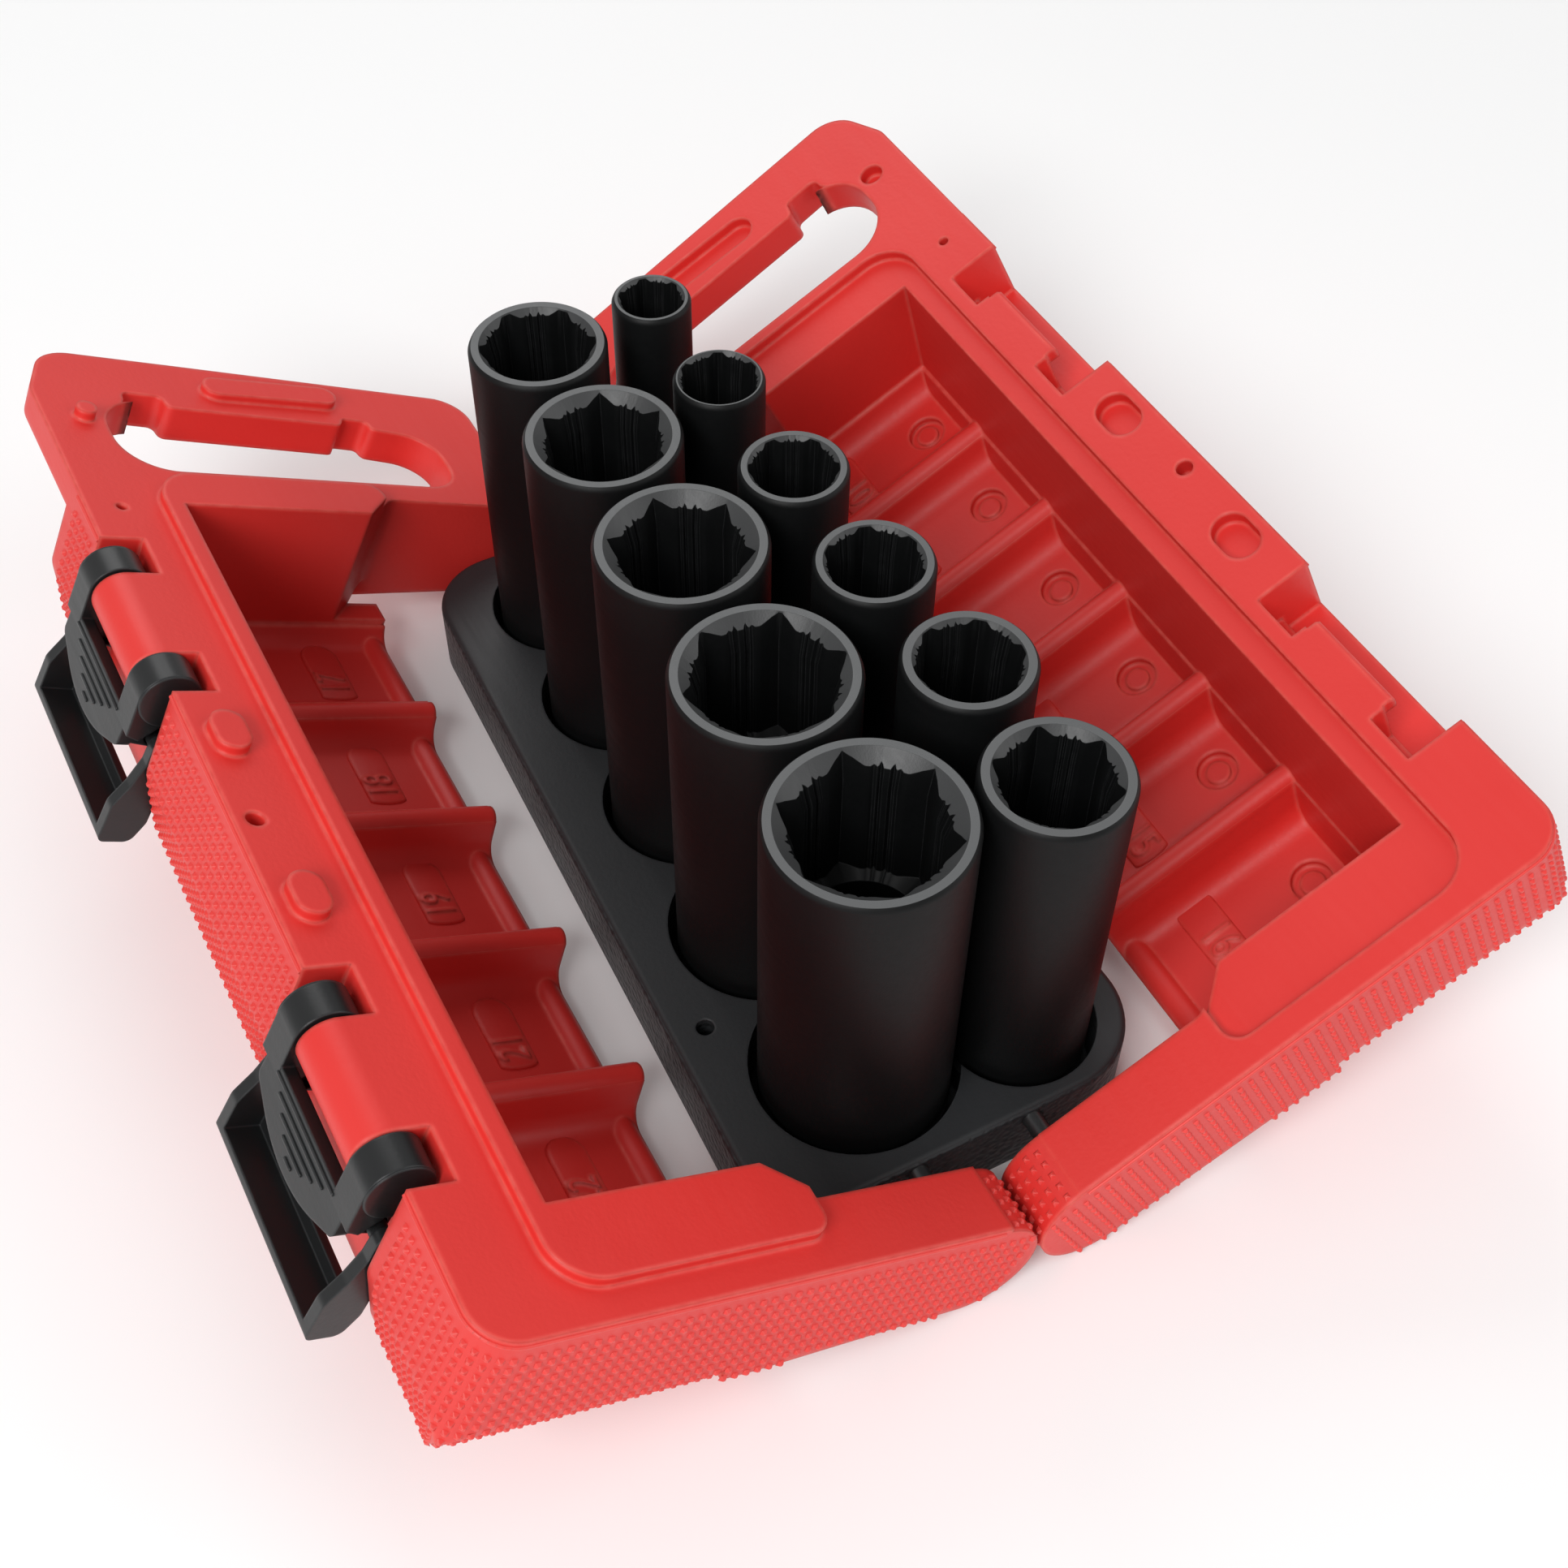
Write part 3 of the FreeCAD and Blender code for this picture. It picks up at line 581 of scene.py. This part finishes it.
@dataclass
class ImpactSocket:
    """One deep six-point impact socket with a serrated mouth and a square drive.

    Its foot and nose are lists of rings: how far each lies inside the full radius, and its height
    above the foot or depth below the rim.
    """

    size: int
    x: float
    y: float
    nose: float
    drive: float
    turn: float
    material: bpy.types.Material
    ring_material: bpy.types.Material
    mouth_material: bpy.types.Material
    length: float = 77.4
    foot_z: float = -17.0
    segments: int = 300
    flare: float = 1.09
    ring_width: float = 1.95
    corner_relief: float = 0.012
    groove_depth: float = 0.035
    step_depth: float = 0.012
    swell: float = 0.014
    groove_place: tuple[float, float] = (4.5, 2.0)
    step_place: tuple[float, float] = (9.5, 2.5)
    swell_place: tuple[float, float] = (16.0, 8.0)
    foot_rings: tuple[tuple[float, float], ...] = ((1.0, 0.0), (0.3, 0.25), (0.0, 1.0), (0.0, 7.0),
                                                   (0.8, 7.5), (0.8, 9.6), (0.0, 10.1))
    nose_rings: tuple[tuple[float, float], ...] = ((0.0, 0.95), (0.25, 0.35), (0.6, 0.0))
    corner_gap: float = 0.35
    lip: float = 0.15
    lead_slope: float = 0.9
    lead_depth: float = 6.0
    bore_inset: float = 0.4
    bore_most: float = 9.5
    bore_step: float = 1.0
    square_lead: float = 0.7
    square_flare: float = 0.6
    nose_length: float = 19.0
    taper: float = 22.0
    square: float = 6.4
    drive_depth: float = 17.0
    hex_depth: float = 26.0

    @property
    def name(self) -> str:
        """Node and body name of the socket."""
        return f"socket_{self.size}mm"

    def flank(self, angle: float) -> float:
        """Radius of the serrated six-point opening at an angle, in radians.

        Each flank swells towards its ends and has two grooves near its middle, and the corners
        are relieved.
        """
        phase = math.degrees(angle) % (2 * HALF_FLANK) - HALF_FLANK
        reach = abs(phase)
        flat = self.size / 2 / math.cos(math.radians(phase))
        relief = self.corner_relief * self.size * (reach / HALF_FLANK) ** 6
        groove = self.groove_depth * self.size * self.peak(reach, self.groove_place)
        step = self.step_depth * self.size * self.peak(reach, self.step_place)
        swell = self.swell * self.size * self.peak(reach, self.swell_place)
        return flat + relief + groove + step - swell

    @staticmethod
    def peak(reach: float, place: tuple[float, float]) -> float:
        """1 in the middle of a place on the flank, down to 0 at its ends.

        Args:
            reach: Angle from the middle of the flank, in degrees.
            place: Middle and half width of the place, in degrees.
        """
        middle, half = place
        return max(0.0, 1 - abs(reach - middle) / half)

    def squared(self, half: float) -> Callable[[float], float]:
        """Radius of a square opening of the given half width, as a function of the angle."""
        return lambda angle: half / max(abs(math.cos(angle)), abs(math.sin(angle)))

    def rings(self) -> list[Ring]:
        """Radius and height of every ring, from the foot round the outside and back inside."""
        nose, drive, top = self.nose / 2, self.drive / 2, self.length
        ring_in = max(self.size / math.sqrt(3) + self.corner_gap, nose - self.ring_width)
        bore = min(self.size / 2 - self.bore_inset, self.bore_most)
        hex_end = top - self.hex_depth

        def mouth(angle: float) -> float:
            """Serrated opening where it meets the lead-in."""
            return min(self.flank(angle) * self.flare, ring_in - self.lip)

        def round_ring(radius: float, height: float) -> Ring:
            """Plain ring."""
            return (lambda angle: radius, lambda angle: height)

        outside = [round_ring(drive - inset, height) for inset, height in self.foot_rings]
        if self.drive > self.nose:
            outside += [round_ring(drive, top - self.nose_length - self.taper),
                        round_ring(nose, top - self.nose_length)]
        outside += [round_ring(nose - inset, top - depth) for inset, depth in self.nose_rings]
        outside.append(round_ring(ring_in, top))
        inside = [(mouth, lambda angle: top - self.lip - (ring_in - mouth(angle)) * self.lead_slope),
                  (self.flank, lambda angle: top - self.lead_depth), (self.flank, lambda angle: hex_end),
                  round_ring(bore, hex_end - self.bore_step), round_ring(bore, self.drive_depth),
                  (self.squared(self.square), lambda angle: self.drive_depth),
                  (self.squared(self.square), lambda angle: self.square_lead),
                  (self.squared(self.square + self.square_flare), lambda angle: 0.0), outside[0]]
        return outside + inside

    def build(self) -> None:
        """Grow the socket ring by ring from a circle, and set it in its place."""
        mesh = bmesh.new()
        rings = self.rings()
        bands = self.bands(len(rings))
        bmesh.ops.create_circle(mesh, cap_ends=False, segments=self.segments, radius=1.0)
        loop = list(mesh.verts)
        edges = list(mesh.edges)
        angles = {vert: math.atan2(vert.co.y, vert.co.x) % math.tau for vert in loop}
        self.shape(angles, rings[0])
        for number, ring in enumerate(rings[1:]):
            grown = bmesh.ops.extrude_edge_only(mesh, edges=edges)["geom"]
            verts = [item for item in grown if isinstance(item, bmesh.types.BMVert)]
            angles = {vert: math.atan2(vert.co.y, vert.co.x) % math.tau for vert in verts}
            faces = [item for item in grown if isinstance(item, bmesh.types.BMFace)]
            edges = [item for item in grown if isinstance(item, bmesh.types.BMEdge)
                     and all(vert in angles for vert in item.verts)]
            self.shape(angles, ring)
            for face in faces:
                face.material_index = bands.get(number, 0)
        place = Vector((self.x, self.y, self.foot_z))
        twist = Matrix.Translation(place) @ Matrix.Rotation(math.radians(self.turn), 4, "Z")
        to_row = Matrix.Translation(HINGE_LINE) @ Matrix.Scale(MM, 4)
        bmesh.ops.transform(mesh, matrix=to_row @ twist, verts=mesh.verts)
        piece = finished_piece(f"{self.name}_body", mesh, self.material, self.name, PHOSPHATE,
                               sharp=28)
        piece.data.materials.append(self.ring_material)
        piece.data.materials.append(self.mouth_material)
        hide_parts(self.name)

    def bands(self, count: int) -> dict[int, int]:
        """Material index of the bands that differ: the ground nose ring and the lead-in.

        Args:
            count: Number of rings in all, of which the last nine line the inside.
        """
        ring = count - INSIDE_RINGS - 2
        return {ring: 1, ring + 1: 2}

    def shape(self, angles: dict[bmesh.types.BMVert, float], ring: Ring) -> None:
        """Move the newest ring of vertices to its radius and height.

        Args:
            angles: The vertices and their angles round the socket.
            ring: Radius and height at an angle.
        """
        radius, height = ring
        for vert, angle in angles.items():
            reach = radius(angle)
            vert.co = (reach * math.cos(angle), reach * math.sin(angle), height(angle))


# ---- Latches -----------------------------------------------------------------------------------
@dataclass
class DrawLatch:
    """One draw latch: lever and bail, with grip ridges on the lever's plate and capped lugs."""

    end: str
    centre: float
    material: bpy.types.Material
    hang: float = math.radians(5)
    axle: tuple[float, float] = (99.0, -5.0)
    plate_face: float = 5.0
    lug_end: float = 17.12
    lug_r: float = 5.38
    cap: float = 0.3
    cap_bevel: float = 0.2
    ridges: int = 5
    ridge_first: float = -7.2
    ridge_pitch: float = 1.75
    ridge_half: float = 11.4
    ridge_width: float = 0.55
    ridge_height: float = 0.5
    ridge_lift: float = 0.05
    ridge_bevel: float = 0.18

    def build(self) -> None:
        """Dress the CAD pieces and add the ridges and caps."""
        dress_node(f"latch_lever_{self.end}", self.material)
        dress_node(f"latch_bail_{self.end}", self.material)
        self.grip()
        self.caps()

    @property
    def to_row(self) -> Matrix:
        """Matrix from the latch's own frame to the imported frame."""
        axle = Matrix.Translation((self.axle[0], 0, self.axle[1]))
        return Side.LEFT.to_row @ axle @ Matrix.Rotation(-self.hang, 4, "Y")

    def caps(self) -> None:
        """Closed round ends of the two lugs that turn on the barrel's stubs."""
        mesh = bmesh.new()
        for sign in (-1, 1):
            end = Matrix.Translation((0, self.centre + sign * (self.lug_end + self.cap / 2), 0))
            disc = bmesh.ops.create_cone(mesh, cap_ends=True, segments=48, radius1=self.lug_r,
                                         radius2=self.lug_r, depth=self.cap,
                                         matrix=end @ Matrix.Rotation(math.radians(90), 4, "X"))
            outside = [edge for vert in disc["verts"] for edge in vert.link_edges
                       if sign * (vert.co.y - self.centre) > self.lug_end + self.cap / 2
                       and abs(edge.verts[0].co.y - edge.verts[1].co.y) < 1e-6]
            bmesh.ops.bevel(mesh, geom=list(set(outside)), offset=self.cap_bevel, segments=3,
                            profile=0.5, affect="EDGES", material=-1)
        bmesh.ops.transform(mesh, matrix=self.to_row, verts=mesh.verts)
        body = f"latch_lever_{self.end}"
        finished_piece(f"latch_lug_caps_{self.end}", mesh, self.material, body, BLACK)

    def grip(self) -> None:
        """Ridges across the thumb plate, shorter towards its tip."""
        mesh = bmesh.new()
        for number in range(self.ridges):
            half = self.ridge_half * (1 - number / (self.ridges - 0.5))
            size = Matrix.Diagonal((self.ridge_height, half * 2, self.ridge_width, 1))
            place = Matrix.Translation((self.plate_face + self.ridge_lift, self.centre,
                                        self.ridge_first - number * self.ridge_pitch))
            bmesh.ops.create_cube(mesh, size=1.0, matrix=place @ size)
        bmesh.ops.bevel(mesh, geom=mesh.edges[:], offset=self.ridge_bevel, segments=2, profile=0.5,
                        affect="EDGES", material=-1)
        bmesh.ops.transform(mesh, matrix=self.to_row, verts=mesh.verts)
        body = f"latch_lever_{self.end}"
        finished_piece(f"latch_grip_{self.end}", mesh, self.material, body, BLACK)


# ---- Studio ------------------------------------------------------------------------------------
@dataclass
class Studio:
    """Pale floor, soft lights and the camera."""

    floor_size: float = 6.0
    floor_white: float = 0.93
    floor_roughness: float = 0.75
    sky: float = 0.44
    lens: float = 47.79
    camera_mm: tuple[float, float, float] = (-112.63, -158.19, 294.36)
    right: tuple[float, float, float] = (0.881163, -0.472681, 0.011136)
    down: tuple[float, float, float] = (-0.357381, -0.681274, -0.638862)
    ahead: tuple[float, float, float] = (0.309565, 0.558962, -0.769241)

    def build(self) -> None:
        """Set up floor, world, lights and camera."""
        self.floor()
        self.world()
        bpy.context.scene.view_settings.view_transform = "Standard"
        for name, place, size, power in LAMPS:
            self.light(name, place, size, power)
        self.camera()

    def floor(self) -> None:
        """Large pale plane under the set."""
        mesh = bmesh.new()
        bmesh.ops.create_grid(mesh, x_segments=1, y_segments=1, size=self.floor_size / 2)
        data = bpy.data.meshes.new("floor")
        mesh.to_mesh(data)
        mesh.free()
        floor = bpy.data.objects.new("floor", data)
        bpy.context.scene.collection.objects.link(floor)
        material = bpy.data.materials.new("pale_floor")
        material.use_nodes = True
        shader = material.node_tree.nodes["Principled BSDF"]
        shader.inputs["Base Color"].default_value = (*[self.floor_white] * 3, 1)
        shader.inputs["Roughness"].default_value = self.floor_roughness
        data.materials.append(material)

    def world(self) -> None:
        """Even white surroundings."""
        world = bpy.data.worlds.new("studio")
        world.use_nodes = True
        back = world.node_tree.nodes["Background"]
        back.inputs["Color"].default_value = (1, 1, 1, 1)
        back.inputs["Strength"].default_value = self.sky
        bpy.context.scene.world = world

    def light(self, name: str, place: tuple[float, float, float], size: float, power: float) -> None:
        """Square soft light that points at the set.

        Args:
            name: Its name.
            place: Where it hangs, in metres.
            size: Length of its side, in metres.
            power: In watts.
        """
        data = bpy.data.lights.new(name, "AREA")
        data.size, data.energy = size, power
        lamp = bpy.data.objects.new(name, data)
        lamp.location = place
        lamp.rotation_euler = (-Vector(place)).to_track_quat("-Z", "Y").to_euler()
        bpy.context.scene.collection.objects.link(lamp)

    def camera(self) -> None:
        """Camera above the front left corner."""
        data = bpy.data.cameras.new("camera")
        data.lens, data.sensor_width, data.clip_start = self.lens, 36.0, 0.01
        camera = bpy.data.objects.new("camera", data)
        axes = (Vector(self.right), -Vector(self.down), -Vector(self.ahead))
        turn = Matrix([[axis[row] for axis in axes] for row in range(3)]).to_4x4()
        place = HINGE_LINE + Vector(self.camera_mm) * MM
        camera.matrix_world = Matrix.Translation(place) @ turn
        bpy.context.scene.collection.objects.link(camera)
        bpy.context.scene.camera = camera


# name, place and side in metres, and power in watts, of each soft light
LAMPS = (("key", (-0.75, -0.55, 0.95), 0.6, 11.5), ("fill", (0.9, -0.5, 0.6), 0.9, 3.5),
         ("back", (0.2, 1.0, 0.9), 0.8, 4.0))
# size, y of the digits and height of the pocket floor, for each half
LABELS = {Side.LEFT: ((22, -0.3, -33.0), (21, 30.6, -33.0), (19, 63.6, -32.0), (18, 93.0, -30.5),
                      (17, 119.8, -28.5)),
          Side.RIGHT: ((16, -6.4, -34.6), (15, 17.9, -33.0), (14, 45.0, -32.4), (13, 71.0, -31.6),
                       (12, 97.0, -30.8), (10, 121.5, -30.0))}
# size, x, y, nose diameter, drive-end diameter, turn of the hexagon in degrees
SOCKET_ROWS = ((10, 14.4, 124.0, 14.5, 21.2, 20), (12, 15.1, 98.3, 16.3, 21.2, 5),
               (13, 15.7, 72.0, 19.0, 21.2, 34), (14, 16.5, 46.1, 20.3, 21.2, 12),
               (15, 18.7, 20.5, 22.0, 22.0, 48), (16, 18.1, -5.5, 24.2, 24.2, 15),
               (17, -9.2, 121.4, 24.8, 24.8, 40), (18, -9.3, 93.9, 27.5, 27.5, 8),
               (19, -9.2, 64.3, 29.3, 29.3, 26), (21, -10.5, 32.7, 30.7, 30.7, 52),
               (22, -10.6, 0.0, 32.7, 32.7, 18))


def main() -> None:
    """Build every piece, then the studio."""
    logging.basicConfig(level=logging.INFO, format="%(name)s %(message)s")
    red, knurl = CASE_RED.material(), KNURL_RED.material()
    for side in Side:
        CaseHalf(side, red, knurl).build()
    dress_node("tray", TRAY_BLACK.material())
    steel = PIN_STEEL.material()
    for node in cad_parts:
        if node.startswith("hinge_pin"):
            dress_node(node, steel)
    black, ring = SOCKET_BLACK.material(), RING_GREY.material()
    mouth = MOUTH_GREY.material()
    for size, x, y, nose, drive, turn in SOCKET_ROWS:
        ImpactSocket(size, x, y, nose, drive, turn, black, ring, mouth).build()
    latch = LATCH_BLACK.material()
    for end, centre in LATCH_Y.items():
        DrawLatch(end, centre, latch).build()
    Studio().build()


if __name__ == "__main__":
    main()
